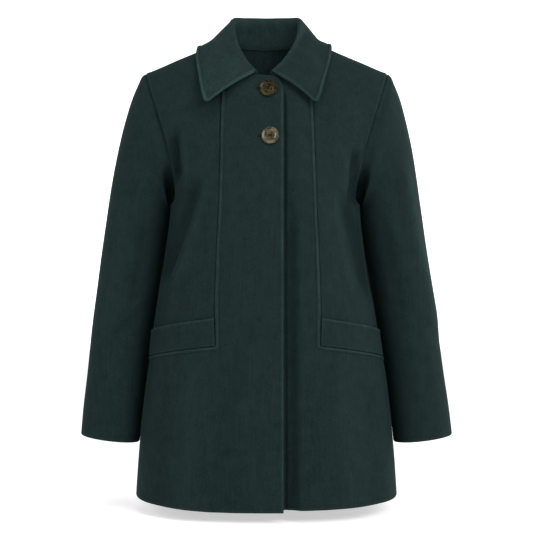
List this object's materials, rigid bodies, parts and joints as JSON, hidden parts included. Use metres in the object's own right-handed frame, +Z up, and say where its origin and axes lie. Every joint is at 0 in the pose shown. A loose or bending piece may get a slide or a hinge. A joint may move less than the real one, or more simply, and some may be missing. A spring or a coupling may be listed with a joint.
{
  "type": "overcoat",
  "caption": "Short A-line woollen overcoat, hollow as when worn, with turn-down collar, set-in sleeves, welt pockets and a buttoned front with a hidden fly.",
  "frame": {"origin": "middle of the neck opening at the height where the shoulder seams meet the neckline, where the wearer's neck and shoulders carry the coat", "axes": "+Z up, -Y is the front, -X is the wearer's right"},
  "size_m": [0.6, 0.293, 0.7863],
  "materials": {
    "wool": "brushed woollen coating",
    "resin": "polished mottled resin"
  },
  "bodies": {
    "root": {"back": "wool", "front_right": "wool", "front_left": "wool", "side_front_right": "wool", "side_front_left": "wool", "pocket_welt_right": "wool", "pocket_welt_left": "wool", "sleeve_right": "wool", "sleeve_left": "wool", "collar": "wool", "button_1": "resin", "button_2": "resin"}
  },
  "joints": []
}
